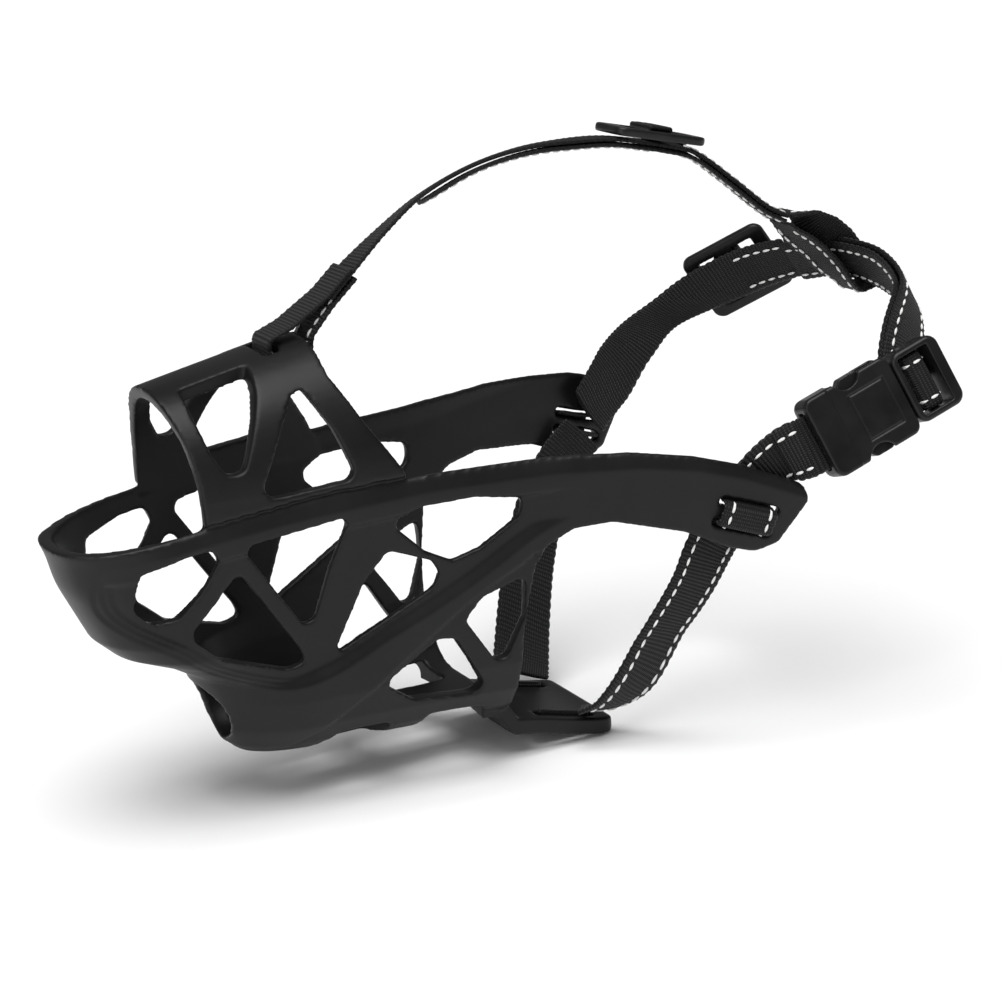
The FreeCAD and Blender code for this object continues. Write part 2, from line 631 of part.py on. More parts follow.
# ---------------------------------------------------------------- overhead webbing
OVERHEAD_FRONT = [(86.0, 123.6), (96.0, 130.4), (107.0, 137.4), (121.0, 142.8), (135.0, 145.4),
                  (148.0, 145.8), (160.0, 145.2), (172.2, 142.85)]
OVERHEAD_REAR = [(172.8, 142.75), (184.5, 139.6), (196.0, 131.5), (206.0, 123.5), (212.4, 119.4)]
OVERHEAD_LOOP_FRONT = [(85.3, 123.0), (79.0, 117.4), (69.0, 111.2), (62.8, 108.8), (62.8, 102.0),
                       (73.0, 102.0), (74.0, 108.4), (79.8, 114.8), (86.6, 120.8)]
OVERHEAD_LOOP_REAR = [(213.2, 119.5), (221.5, 119.0), (229.0, 115.8), (233.7, 112.0),
                      (238.4, 105.9), (243.1, 100.2), (241.8, 97.0), (236.3, 95.8),
                      (229.9, 101.9), (224.0, 108.0), (216.0, 114.3), (212.9, 117.4)]


def side_run(points):
    """Stations for webbing that lies flat across the muzzle and runs in the side view."""
    stations = []
    last = len(points) - 1
    for index, (x, z) in enumerate(points):
        x0, z0 = points[max(index - 1, 0)]
        x1, z1 = points[min(index + 1, last)]
        stations.append((Vector(x, 0, z), Vector(-(z1 - z0), 0, x1 - x0).normalize()))
    return smooth_run(stations, 3)


def side_band(path):
    """Narrow webbing folded in the side view."""
    return folded_band(path, THIN, NARROW, Vector(0, 0, 0), Vector(1, 0, 0), Vector(0, 0, 1),
                       Vector(0, 1, 0))


NARROW_LAYER = THIN + size("strapgap")
front_run = side_run(OVERHEAD_FRONT)
rear_run = side_run(OVERHEAD_REAR)
add_node("overhead_loop_front", side_band(OVERHEAD_LOOP_FRONT))
add_node("overhead_strap_front", ribbon(front_run, NARROW, THIN))
add_node("overhead_strap_tail", ribbon(offset_run(front_run[6:], -NARROW_LAYER), NARROW, THIN))
add_node("overhead_strap_rear", ribbon(rear_run, NARROW, THIN))
add_node("overhead_strap_return", ribbon(offset_run(rear_run, -NARROW_LAYER), NARROW, THIN))
add_node("overhead_loop_rear", side_band(OVERHEAD_LOOP_REAR))

# ---------------------------------------------------------------- reflective thread
THREAD_OFFSET = 5.0
THREAD_WIDTH = 1.0
THREAD_THICK = 0.2


def thread_rows(stations):
    """Two rows of reflective thread on the outer face of a run of webbing."""
    lift = THICK / 2 + 0.25 + THREAD_THICK / 2
    return [ribbon(offset_run(stations, lift, side * THREAD_OFFSET), THREAD_WIDTH, THREAD_THICK)
            for side in (-1, 1)]


near_rows = thread_rows(CHIN_NEAR[4:21])
far_rows = [mirrored(row) for row in thread_rows(CHIN_FAR[4:21])]
rear_rows = thread_rows(NECK_REAR[10:21])
add_node("reflective_thread", Part.makeCompound(near_rows + far_rows + rear_rows))

# ---------------------------------------------------------------- check and write
doc.recompute()
for item in doc.Objects:
    if "Invalid" in item.State or "Error" in item.State:
        raise RuntimeError("%s did not compute: %s" % (item.Label, item.State))
for node in NODES:
    if node.Shape.isNull() or not node.Shape.isValid():
        raise RuntimeError("%s has no valid shape" % node.Label)
    solids = node.Shape.Solids
    wanted = 6 if node.Label == "reflective_thread" else 1
    if len(solids) != wanted or min(solid.Volume for solid in solids) <= 0:
        raise RuntimeError("%s is not made of closed solids" % node.Label)
    node.Shape.exportStep(os.path.join("parts", node.Label + ".step"))
    print("%-26s %9.1f mm3" % (node.Label, node.Shape.Volume))
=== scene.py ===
"""Basket muzzle: the looks of its moulded rubber, woven webbing, buckle and sliders.

Working lengths are in millimetres: X from the front tip of the basket towards the neck, Y across
the snout (near side -Y) and Z up. Meshes are turned into metres in the frame when they are made.
"""

import json
import math

import bpy
import numpy as np
from mathutils import Matrix, Vector


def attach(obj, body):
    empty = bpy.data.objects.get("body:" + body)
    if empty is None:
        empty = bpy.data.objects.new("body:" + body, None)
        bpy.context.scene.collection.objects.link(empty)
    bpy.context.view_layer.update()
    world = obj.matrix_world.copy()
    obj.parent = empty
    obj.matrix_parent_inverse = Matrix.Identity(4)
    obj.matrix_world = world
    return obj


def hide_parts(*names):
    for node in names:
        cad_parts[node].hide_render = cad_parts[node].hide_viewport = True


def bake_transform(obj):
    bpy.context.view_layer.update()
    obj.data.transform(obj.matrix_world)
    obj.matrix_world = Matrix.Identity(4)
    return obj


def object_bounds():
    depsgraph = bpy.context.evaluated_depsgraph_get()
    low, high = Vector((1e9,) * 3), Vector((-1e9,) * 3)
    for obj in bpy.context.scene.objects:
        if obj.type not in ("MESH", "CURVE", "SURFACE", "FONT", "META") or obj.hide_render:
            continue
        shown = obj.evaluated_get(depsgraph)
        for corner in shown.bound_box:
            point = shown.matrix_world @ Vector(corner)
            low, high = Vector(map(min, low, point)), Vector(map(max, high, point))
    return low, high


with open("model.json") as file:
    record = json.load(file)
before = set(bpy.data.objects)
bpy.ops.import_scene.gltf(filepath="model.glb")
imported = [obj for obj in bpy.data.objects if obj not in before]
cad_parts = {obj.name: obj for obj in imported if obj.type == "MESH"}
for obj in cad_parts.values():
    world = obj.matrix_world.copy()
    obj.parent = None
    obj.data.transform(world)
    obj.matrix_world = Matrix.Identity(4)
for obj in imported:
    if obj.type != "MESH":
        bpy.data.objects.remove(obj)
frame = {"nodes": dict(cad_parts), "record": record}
CAD_BOX = [list(corner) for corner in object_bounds()]

MM = 0.001
TIP = 120.5  # the frame's origin is this far behind the front tip


# ---------------------------------------------------------------- numbers and curves
def unit(vectors):
    """Vectors of length one, along the last axis."""
    vectors = np.asarray(vectors, float)
    return vectors / np.linalg.norm(vectors, axis=-1, keepdims=True)


def step(value, low, high):
    """A smooth ramp from 0 at low to 1 at high."""
    t = np.clip((value - low) / (high - low), 0, 1)
    return t * t * (3 - 2 * t)


def curve_through(points, parts=12):
    """A Catmull-Rom curve through rows of numbers."""
    points = np.asarray(points, float)
    padded = np.vstack([2 * points[0] - points[1], points, 2 * points[-1] - points[-2]])
    t = (np.arange(parts) / parts)[:, None]
    pieces = []
    for p0, p1, p2, p3 in zip(padded, padded[1:], padded[2:], padded[3:]):
        pieces.append(0.5 * (2 * p1 + (p2 - p0) * t + (2 * p0 - 5 * p1 + 4 * p2 - p3) * t ** 2
                             + (3 * p1 - p0 - 3 * p2 + p3) * t ** 3))
    return np.vstack(pieces + [points[-1:]])


def evenly(rows, spacing):
    """The same curve with its points a fixed distance apart; the first three columns are places."""
    lengths = np.linalg.norm(np.diff(rows[:, :3], axis=0), axis=1)
    travelled = np.concatenate([[0], np.cumsum(lengths)])
    count = max(2, int(round(travelled[-1] / spacing)) + 1)
    wanted = np.linspace(0, travelled[-1], count)
    return np.stack([np.interp(wanted, travelled, column) for column in rows.T], axis=1)


class Local:
    """A plate's own frame: u along, v across and w out of its face."""

    def __init__(self, origin, along, out):
        self.origin = np.array(origin, float)
        self.along = unit(along)
        self.across = unit(np.cross(out, self.along))
        self.out = np.cross(self.along, self.across)

    def at(self, u, v, w):
        return self.origin + u * self.along + v * self.across + w * self.out

    def measure(self, points):
        """The u, v and w of points."""
        away = points - self.origin
        return away @ self.along, away @ self.across, away @ self.out


# ---------------------------------------------------------------- places shared with the CAD part
WEB_WIDTH, WEB_THICK = 15.0, 1.2
NARROW_WIDTH, NARROW_THICK = 10.0, 1.0
GAP = 0.4
LAYER = WEB_THICK + GAP + 0.3
NARROW_LAYER = NARROW_THICK + GAP
WALL = 3.2
INSIDE = WALL / 2 + 2.6
SLOT = 2.8  # from the middle of a wing's bar to the middle of each slot
CHIN_X = 134.5
MALE_BAR = 32.7

WING_BAR = Local((172, -41.1, 54.5), (0.93, -0.18, -0.33), (-0.19, -0.97, -0.125))
BUCKLE = Local((190.4, -46, 71.2), (0.93, -0.087, 0.355), (-0.204, -0.929, 0.307))
ADJUSTER = Local((220.6, 30.8, 96.8), (0.64, -0.60, 0.48), (-0.62, -0.66, -0.43))
SLIDER = Local((172.5, 0, 142.8), (0.976, 0, -0.218), (-0.218, 0, -0.976))
OUT_OF_BUCKLE = BUCKLE.out


def chin_stations(slack):
    """The chin strap on the near side; slack moves its free part rearwards."""
    return [
        (WING_BAR.at(-1.5, -2.6, -INSIDE - 1.3), (-0.1, -0.97, -0.1)),
        ((164.0 + 0.6 * slack, -34.8, 45.0), (-0.05, -0.99, -0.05)),
        ((159.0 + slack, -33.6, 36.5), (0.05, -0.99, -0.1)),
        ((153.5 + slack, -30.6, 26.5), (0.1, -0.97, -0.2)),
        ((148.0 + slack, -25.4, 16.0), (0.1, -0.88, -0.45)),
        ((142.6 + 0.6 * slack, -20.0, 9.2), (0.05, -0.55, -0.83)),
        ((138.0, -15.8, 6.4), (0, -0.15, -0.98)),
    ]


NECK_NEAR = [
    (WING_BAR.at(0.5, 3.0, -INSIDE - 1.3), (-0.1, -0.97, -0.1)),
    ((178.6, -39.2, 63.6), (0.0, -0.99, 0.0)),
    ((184.3, -42.2, 68.2), (-0.09, -0.98, 0.12)),
    (BUCKLE.at(-2.5, 0, 0), OUT_OF_BUCKLE),
    (BUCKLE.at(4.6, 0, 0), OUT_OF_BUCKLE),
]
NECK_FAR = [
    ((174.4, 36.4, 57.8), (-0.1, 0.97, -0.1)),
    ((181.0, 39.6, 62.0), (0.0, 1.0, 0.0)),
    ((187.0, 42.3, 66.2), (0.1, 0.99, 0.0)),
    ((193.2, 43.6, 71.5), (0.25, 0.96, 0.0)),
    ((200.8, 43.0, 80.4), (0.45, 0.88, 0.1)),
    ((208.4, 39.5, 87.8), (0.55, 0.78, 0.25)),
    ((215.3, 34.2, 93.8), (0.6, 0.7, 0.4)),
    ((222.9, 27.0, 98.9), (0.62, 0.62, 0.45)),
    ((229.5, 17.8, 102.6), (0.65, 0.45, 0.58)),
]
NECK_REAR = [
    ((230.0, 17.0, 102.9), (0.65, 0.45, 0.58)),
    ((234.0, 7.0, 104.9), (0.72, 0.15, 0.65)),
    ((236.6, -4.0, 104.9), (0.8, -0.15, 0.55)),
    ((237.6, -15.0, 103.0), (0.8, -0.45, 0.35)),
    ((235.8, -26.0, 98.4), (0.6, -0.75, 0.25)),
    (BUCKLE.at(41.0, 9.8, -12.5), (0.15, -0.95, 0.25)),
    (BUCKLE.at(35.5, 4.0, -8.2), OUT_OF_BUCKLE),
    (BUCKLE.at(33.0, 0.0, -7.2), OUT_OF_BUCKLE),
]
# Overhead webbing in the side view: (x, z) and how far its face turns about its run, in degrees.
OVERHEAD_FRONT = [(79.6, 116.6, 0), (86.0, 122.2, -4), (96.0, 130.2, -14), (107.0, 137.4, -20),
                  (121.0, 142.8, -18), (135.0, 145.4, -12), (148.0, 145.8, -6),
                  (160.0, 145.2, -3), (172.2, 142.85, 0)]
OVERHEAD_REAR = [(172.8, 142.75, 0), (184.5, 139.6, 8), (196.0, 131.5, 10), (206.0, 123.5, 8),
                 (212.4, 119.4, 0)]
OVERHEAD_LOOP_FRONT = [(85.3, 123.0), (79.0, 117.4), (69.0, 111.2), (62.8, 108.8), (62.8, 102.0),
                       (73.0, 102.0), (74.0, 108.4), (79.8, 114.8), (86.6, 120.8)]
OVERHEAD_LOOP_REAR = [(213.2, 119.5), (221.5, 119.0), (229.0, 115.8), (233.7, 112.0),
                      (238.4, 105.9), (243.1, 100.2), (241.8, 97.0), (236.3, 95.8),
                      (229.9, 101.9), (224.0, 108.0), (216.0, 114.3), (212.9, 117.4)]


# ---------------------------------------------------------------- how the soft rubber hangs
WING_RISE, LATTICE_SAG, TAB_DROP = 4.5, 0.8, 6.5


def flexed(points):
    """The far wing sits a little high, the far lattice sags and the tab hangs down at its rear."""
    x, y, z = points.T
    risen = step(x, 112, 168) * step(y, 12, 26) * step(z, 18, 46) * (1 - step(z, 70, 92))
    risen *= 1 + 0.3 * (1 - step(z, 52, 62)) + 0.7 * step(x, 156, 182) * step(z, 58, 66)
    sagged = step(y, 10, 20) * step(z, 30, 50) * (1 - step(z, 64, 71)) * (1 - step(x, 112, 140))
    hung = step(x, 114, 150) * (1 - step(z, 8, 24)) * (1 - step(x, 180, 190))
    moved = points.copy()
    moved[:, 2] += WING_RISE * risen - LATTICE_SAG * sagged - TAB_DROP * hung
    return moved


# ---------------------------------------------------------------- meshes
def make_piece(name, points, faces, material, uvs=None):
    """A smooth-shaded mesh object from points in working millimetres."""
    mesh = bpy.data.meshes.new(name)
    placed = (np.asarray(points) - (TIP, 0, 0)) * MM
    mesh.from_pydata(placed.tolist(), [], [list(face) for face in faces])
    mesh.polygons.foreach_set("use_smooth", np.ones(len(mesh.polygons), bool))
    if uvs is not None:
        corners = np.zeros(len(mesh.loops), int)
        mesh.loops.foreach_get("vertex_index", corners)
        layer = mesh.uv_layers.new(name="weave")
        layer.data.foreach_set("uv", np.asarray(uvs)[corners].astype(np.float32).ravel())
    mesh.materials.append(material)
    mesh.update()
    piece = bpy.data.objects.new(name, mesh)
    bpy.context.scene.collection.objects.link(piece)
    return piece


def remeshed(name, node, voxel, smoothing, material):
    """A rounded copy of a CAD node, as a new object with working coordinates read back from it."""
    source = bpy.data.objects.new(name + "_source", frame["nodes"][node].data.copy())
    bpy.context.scene.collection.objects.link(source)
    remesh = source.modifiers.new("remesh", "REMESH")
    remesh.mode = "VOXEL"
    remesh.voxel_size = voxel * MM
    smooth = source.modifiers.new("smooth", "SMOOTH")
    smooth.factor = 0.5
    smooth.iterations = smoothing
    evaluated = source.evaluated_get(bpy.context.evaluated_depsgraph_get())
    mesh = bpy.data.meshes.new_from_object(evaluated)
    mesh.name = name
    bpy.data.objects.remove(source)
    mesh.materials.clear()
    mesh.materials.append(material)
    mesh.polygons.foreach_set("use_smooth", np.ones(len(mesh.polygons), bool))
    piece = bpy.data.objects.new(name, mesh)
    bpy.context.scene.collection.objects.link(piece)
    return piece


def points_of(piece):
    """A piece's vertices in working millimetres, with their normals."""
    mesh = piece.data
    places = np.zeros(len(mesh.vertices) * 3)
    mesh.vertices.foreach_get("co", places)
    normals = np.zeros(len(mesh.vertices) * 3)
    mesh.vertices.foreach_get("normal", normals)
    return places.reshape(-1, 3) / MM + (TIP, 0, 0), normals.reshape(-1, 3)


def set_points(piece, points):
    """Moves a piece's vertices to places in working millimetres."""
    placed = (points - (TIP, 0, 0)) * MM
    piece.data.vertices.foreach_set("co", placed.ravel())
    piece.data.update()


def neighbours_mean(piece, values):
    """For each vertex, the mean of its neighbours' values."""
    edges = np.zeros(len(piece.data.edges) * 2, int)
    piece.data.edges.foreach_get("vertices", edges)
    first, second = edges.reshape(-1, 2).T
    count = len(piece.data.vertices)
    shared = np.bincount(first, minlength=count) + np.bincount(second, minlength=count)
    total = [np.bincount(first, column[second], count) + np.bincount(second, column[first], count)
             for column in values.T]
    return np.stack(total, axis=1) / shared[:, None]


def evened(piece, values, rounds, shares=(0.5,)):
    """Values on a piece's vertices with small jags smoothed out; a negative share undoes the
    shrinking of the positive one before it."""
    for share in shares * rounds:
        values = values + share * (neighbours_mean(piece, values) - values)
    return values


# ---------------------------------------------------------------- materials
def new_material(name, colour, roughness, gloss=0.25):
    """A principled material, with its node tree and its shader."""
    material = bpy.data.materials.new(name)
    material.use_nodes = True
    material.diffuse_color = (*colour, 1)
    shader = material.node_tree.nodes["Principled BSDF"]
    shader.inputs["Base Color"].default_value = (*colour, 1)
    shader.inputs["Roughness"].default_value = roughness
    shader.inputs["Specular IOR Level"].default_value = gloss
    return material, material.node_tree, shader


def add(tree, kind, **values):
    """A new node with its settings; names that are sockets are set as socket values."""
    node = tree.nodes.new(kind)
    for key, value in values.items():
        if key in node.inputs:
            node.inputs[key].default_value = value
        else:
            setattr(node, key, value)
    return node


def noise_of(tree, source, scale, detail=3.0):
    node = add(tree, "ShaderNodeTexNoise", Scale=scale, Detail=detail)
    tree.links.new(source, node.inputs["Vector"])
    return node.outputs["Fac"]


def ramp_of(tree, source, low_colour, high_colour, low=0.35, high=0.65):
    node = tree.nodes.new("ShaderNodeValToRGB")
    node.color_ramp.elements[0].position = low
    node.color_ramp.elements[0].color = (*low_colour, 1)
    node.color_ramp.elements[1].position = high
    node.color_ramp.elements[1].color = (*high_colour, 1)
    tree.links.new(source, node.inputs["Fac"])
    return node.outputs["Color"]


def between(tree, source, low, high):
    node = add(tree, "ShaderNodeMapRange")
    node.inputs["To Min"].default_value = low
    node.inputs["To Max"].default_value = high
    tree.links.new(source, node.inputs["Value"])
    return node.outputs["Result"]


def bump_of(tree, source, strength, distance, before=None):
    node = add(tree, "ShaderNodeBump", Strength=strength, Distance=distance)
    tree.links.new(source, node.inputs["Height"])
    if before is not None:
        tree.links.new(before, node.inputs["Normal"])
    return node.outputs["Normal"]


def rubber_material():
    """Satin black moulded rubber: a fine grain, cloudy sheen and a faint dusty bloom."""
    material, tree, shader = new_material("moulded_rubber", (0.016, 0.016, 0.017), 0.42)
    place = tree.nodes.new("ShaderNodeTexCoord").outputs["Object"]
    cloud = noise_of(tree, place, 55.0, 4.0)
    grain = noise_of(tree, place, 2600.0, 2.0)
    tree.links.new(ramp_of(tree, cloud, (0.004, 0.004, 0.0043), (0.007, 0.007, 0.0074)),
                   shader.inputs["Base Color"])
    tree.links.new(between(tree, cloud, 0.36, 0.5), shader.inputs["Roughness"])
    broad = bump_of(tree, noise_of(tree, place, 160.0, 2.0), 0.12, 0.0004)
    tree.links.new(bump_of(tree, grain, 0.18, 0.00005, broad), shader.inputs["Normal"])
    return material


def plastic_material(name, roughness):
    """Moulded buckle plastic: harder and glossier, with a light grain and handling marks."""
    material, tree, shader = new_material(name, (0.014, 0.014, 0.015), roughness)
    place = tree.nodes.new("ShaderNodeTexCoord").outputs["Object"]
    cloud = noise_of(tree, place, 120.0, 4.0)
    tree.links.new(ramp_of(tree, cloud, (0.006, 0.006, 0.0065), (0.011, 0.011, 0.0115)),
                   shader.inputs["Base Color"])
    tree.links.new(between(tree, cloud, roughness - 0.06, roughness + 0.1),
                   shader.inputs["Roughness"])
    tree.links.new(bump_of(tree, noise_of(tree, place, 3200.0, 2.0), 0.15, 0.00004),
                   shader.inputs["Normal"])
    return material


RIB = 0.95  # pitch of the webbing's cross ribs
YARN = 0.62  # pitch of the yarns across a rib


def wave_of(tree, source, pitch):
    """A sine along one coordinate in millimetres, from 0 to 1."""
    turned = add(tree, "ShaderNodeMath", operation="MULTIPLY")
    turned.inputs[1].default_value = 2 * math.pi / pitch
    tree.links.new(source, turned.inputs[0])
    sine = add(tree, "ShaderNodeMath", operation="SINE")
    tree.links.new(turned.outputs[0], sine.inputs[0])
    return between_minus_one(tree, sine.outputs[0])


def between_minus_one(tree, source):
    node = add(tree, "ShaderNodeMapRange")
    node.inputs["From Min"].default_value = -1.0
    tree.links.new(source, node.inputs["Value"])
    return node.outputs["Result"]


def webbing_material(name):
    """Black nylon webbing: painted highlights on the yarns along each rib and painted shade in the
    grooves.
    """
    material, tree, shader = new_material(name, (0.014, 0.014, 0.015), 0.62)
    shader.inputs["Sheen Weight"].default_value = 0.05
    shader.inputs["Sheen Roughness"].default_value = 0.4
    weave = add(tree, "ShaderNodeUVMap", uv_map="weave")
    apart = tree.nodes.new("ShaderNodeSeparateXYZ")
    tree.links.new(weave.outputs["UV"], apart.inputs[0])
    ribs = wave_of(tree, apart.outputs["X"], RIB)
    yarns = wave_of(tree, apart.outputs["Y"], YARN)
    both = add(tree, "ShaderNodeMath", operation="MULTIPLY")
    tree.links.new(ribs, both.inputs[0])
    tree.links.new(yarns, both.inputs[1])
    fibres = noise_of(tree, tree.nodes.new("ShaderNodeTexCoord").outputs["Object"], 1800.0, 3.0)
    # Painted highlight and shade: the weave pattern, broken up by fibre noise, lightens the rib and
    # yarn tops and darkens the grooves in the base colour.
    painted_rib_light = add(tree, "ShaderNodeMath", operation="MULTIPLY")
    tree.links.new(both.outputs[0], painted_rib_light.inputs[0])
    tree.links.new(between(tree, fibres, 0.5, 1.3), painted_rib_light.inputs[1])
    tree.links.new(ramp_of(tree, painted_rib_light.outputs[0], (0.002, 0.002, 0.0021), (0.034, 0.034, 0.035),
                           0.15, 0.9), shader.inputs["Base Color"])
    tree.links.new(between(tree, fibres, 0.5, 0.75), shader.inputs["Roughness"])
    tree.links.new(bump_of(tree, both.outputs[0], 0.9, 0.00025), shader.inputs["Normal"])
    return material


def thread_material():
    """White reflective sewing thread with a fine twist."""
    material, tree, shader = new_material("reflective_thread", (0.86, 0.86, 0.85), 0.45)
    place = tree.nodes.new("ShaderNodeTexCoord").outputs["Object"]
    twist = noise_of(tree, place, 2200.0, 2.0)
    tree.links.new(ramp_of(tree, twist, (0.7, 0.7, 0.69), (0.92, 0.92, 0.91)),
                   shader.inputs["Base Color"])
    tree.links.new(bump_of(tree, twist, 0.4, 0.0001), shader.inputs["Normal"])
    return material


def floor_material():
    """A plain pale studio floor, very slightly mottled."""
    material, tree, shader = new_material("studio_floor", (0.93, 0.93, 0.93), 0.9)
    place = tree.nodes.new("ShaderNodeTexCoord").outputs["Object"]
    cloud = noise_of(tree, place, 3.0, 2.0)
    tree.links.new(ramp_of(tree, cloud, (0.92, 0.92, 0.92), (0.94, 0.94, 0.94)),
                   shader.inputs["Base Color"])
    return material


RUBBER = rubber_material()
WEBBING = webbing_material("webbing")
NARROW_WEBBING = webbing_material("narrow_webbing")
BUCKLE_PLASTIC = plastic_material("buckle_plastic", 0.3)
SLIDER_PLASTIC = plastic_material("slider_plastic", 0.34)
THREAD = thread_material()

# ---------------------------------------------------------------- the basket
HALF_TOP = [(-4, 68), (12, 68.5), (33, 71.3), (62, 75), (90, 76.5), (123, 76.5), (142, 75),
            (158, 72), (171, 68), (187, 61)]
# Upper edge of the proud band, from beside the first window down and back up into the wing.
LEDGE = [(19.5, 66), (15.6, 62.5), (14.6, 58.5), (16.2, 53.5), (20.4, 49.6), (25.6, 46.4),
         (31, 43), (38.5, 37), (46, 33.4), (54, 31.0), (61, 31.6), (69, 34.2), (80, 39.8),
         (92, 45.6), (102, 51.2), (110, 56.4), (117, 60.6), (124, 63.2)]
# Lower edge of the proud band, above the panel that joins the chin to the rear post.
CREASE = [(50, 6), (58, 11.5), (66, 16.5), (75, 23), (85, 31), (97, 40.5), (106, 46.5), (114, 51)]
BAND_PROUD, RAIL_PROUD, PANEL_PROUD = 1.9, 0.9, 1.1
RAIL_HEIGHT = 9.0  # of the proud strip along the top of the wall
BEVEL_HEIGHT, BEVEL_DEPTH = 3.6, 1.5  # of the slope along the rail's upper edge
RECESS = 1.0  # the lattice lies this far behind the CAD wall's outer face


def below_line(x, z, line):
    """Distance from a line in the side view, positive below it where it runs towards the neck."""
    line = curve_through(line, 5)
    nearest = np.full(len(x), 1e9)
    side = np.zeros(len(x))
    for (x0, z0), (x1, z1) in zip(line, line[1:]):
        dx, dz = x1 - x0, z1 - z0
        t = np.clip(((x - x0) * dx + (z - z0) * dz) / (dx * dx + dz * dz), 0, 1)
        away_x, away_z = x - (x0 + t * dx), z - (z0 + t * dz)
        distance = np.hypot(away_x, away_z)
        closer = distance < nearest
        nearest = np.where(closer, distance, nearest)
        side = np.where(closer, dz * away_x - dx * away_z, side)
    return nearest * np.sign(side)


def ledge_height(depth, x):
    """Share of the band's height at a distance below the ledge line: fine steps in front of the
    second window, and one broad sloping strip behind it."""
    stepped = 0.34 * (step(depth, 0, 0.45) + step(depth, 1.2, 1.65)) + 0.32 * step(depth, 2.4, 2.9)
    sloped = np.clip(depth / 3.0, 0, 1)
    behind = step(x, 50, 60)
    return stepped * (1 - behind) + sloped * behind


def wall_relief(x, z):
    """How far the outer wall stands proud, in the side view."""
    below = below_line(x, z, LEDGE)
    band = BAND_PROUD - (BAND_PROUD - RAIL_PROUD) * step(z, 57, 66)
    band = band * (1 - step(x, 110, 130)) + RAIL_PROUD * step(x, 110, 130)
    relief = band * np.where(below > 0, ledge_height(below, x), 0)
    panel = step(below_line(x, z, CREASE), 0, 0.7) * (x < 118)
    relief = relief - (BAND_PROUD - PANEL_PROUD) * panel * step(x, 50, 60)
    top = np.interp(x, *zip(*HALF_TOP))
    rail = RAIL_PROUD * step(z, top - RAIL_HEIGHT, top - RAIL_HEIGHT + 1.4)
    rail = np.maximum(rail, RAIL_PROUD * step(x, 116, 128))
    relief = np.maximum(relief, rail)
    bevel = np.clip((z - (top - BEVEL_HEIGHT)) / BEVEL_HEIGHT, 0, 1)
    return relief - BEVEL_DEPTH * bevel * (z < top + 1.0) * step(x, 8, 30)


def make_basket():
    """The rubber basket, with its ledge, rail and wing pads standing proud of the lattice."""
    piece = remeshed("basket_moulding", "basket", 0.5, 5, RUBBER)
    set_points(piece, evened(piece, points_of(piece)[0], 9, (0.5, -0.47)))
    points, normals = points_of(piece)
    x, y, z = points.T
    outward = np.stack([np.minimum(x - 46, 0) * 0.75, y, np.zeros(len(x))], axis=1)
    outward = unit(outward + (0, 1e-6, 0))
    facing = np.sum(normals * outward, axis=1)
    share = step(facing, -0.35, 0.4) * (1 - step(z, 76.5, 78.5))
    behind_chin = 1 - step(x, 112, 118) * (1 - step(z, 16, 26))
    relief = (wall_relief(x, z) - RECESS) * share * behind_chin * step(z, 8, 15)
    relief = evened(piece, relief[:, None], 2)
    set_points(piece, flexed(points + outward * relief))
    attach(piece, "muzzle")
    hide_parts("basket")
    return piece


# ---------------------------------------------------------------- webbing
SIDE_COLUMNS = 17
ROWS_PER_RIB = 4


def laid_run(stations):
    """Even rows of centre and face normal along webbing laid through stations."""
    rows = np.array([[*centre, *normal] for centre, normal in stations], float)
    return evenly(curve_through(rows), RIB / ROWS_PER_RIB)


def folded_run(path, plane, softness=0.7, outer=1):
    """Even rows along webbing bent round straight edges, its corners rounded by the softness."""
    fine = evenly(np.array([plane(u, v) for u, v in path], float), 0.12)
    reach = int(round(softness / 0.12))
    weights = np.hanning(2 * reach + 3)[1:-1]
    weights /= weights.sum()
    padded = np.vstack([np.repeat(fine[:1], reach, 0), fine, np.repeat(fine[-1:], reach, 0)])
    soft = np.stack([np.convolve(column, weights, "valid") for column in padded.T], axis=1)
    ahead = unit(np.gradient(soft, axis=0))
    sideways = np.cross(plane(1, 0) - plane(0, 0), plane(0, 1) - plane(0, 0))
    normals = np.cross(ahead, unit(sideways)) * outer
    return evenly(np.hstack([soft, normals]), RIB / ROWS_PER_RIB)


def axes_of(rows):
    """The directions along, across and out of the face of webbing."""
    ahead = unit(np.gradient(rows[:, :3], axis=0))
    across = unit(np.cross(ahead, rows[:, 3:6]))
    return ahead, across, unit(np.cross(across, ahead))


def shifted(rows, distance, sideways=0.0):
    """The same webbing moved out of its face and across its width."""
    _, across, face = axes_of(rows)
    moved = rows.copy()
    moved[:, :3] += distance * face + sideways * across
    return moved


def turned(rows, start, end, degrees, inwards=0.0):
    """The same webbing with a stretch of it turned about its run and moved inwards."""
    _, across, face = axes_of(rows)
    travelled = np.arange(len(rows)) * RIB / ROWS_PER_RIB
    ramp = (end - start) / 3
    share = step(travelled, start, start + ramp) * (1 - step(travelled, end - ramp, end))
    angle = (math.radians(degrees) * share)[:, None]
    moved = rows.copy()
    moved[:, :3] -= face * inwards * share[:, None]
    moved[:, 3:6] = face * np.cos(angle) + across * np.sin(angle)
    return moved


